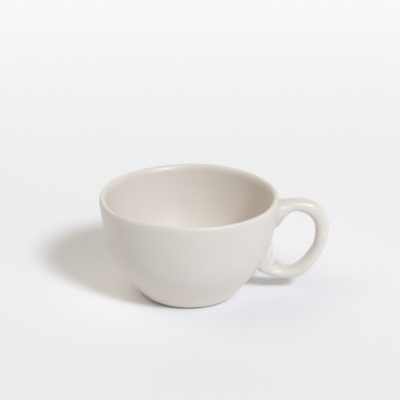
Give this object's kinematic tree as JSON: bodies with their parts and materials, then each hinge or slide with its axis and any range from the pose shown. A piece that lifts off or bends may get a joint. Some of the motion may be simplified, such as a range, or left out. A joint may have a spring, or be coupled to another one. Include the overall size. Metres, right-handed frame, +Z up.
{
  "type": "cappuccino cup",
  "caption": "Wide hand-formed stoneware cup with a conical lower wall, soft shoulder, flaring rim and a rolled loop handle, glazed all over except its flat foot.",
  "frame": {"origin": "centre of the flat foot that the cup stands on, on the bowl's axis", "axes": "+Z up along the bowl's axis, +X towards the handle"},
  "size_m": [0.1358, 0.105, 0.0622],
  "materials": {
    "glaze": "satin",
    "bare_clay": "matte"
  },
  "bodies": {
    "root": {"bowl": "glaze", "handle": "glaze", "upper_slip_joint": "glaze", "lower_slip_joint": "glaze", "foot_pad": "bare_clay"}
  },
  "joints": []
}
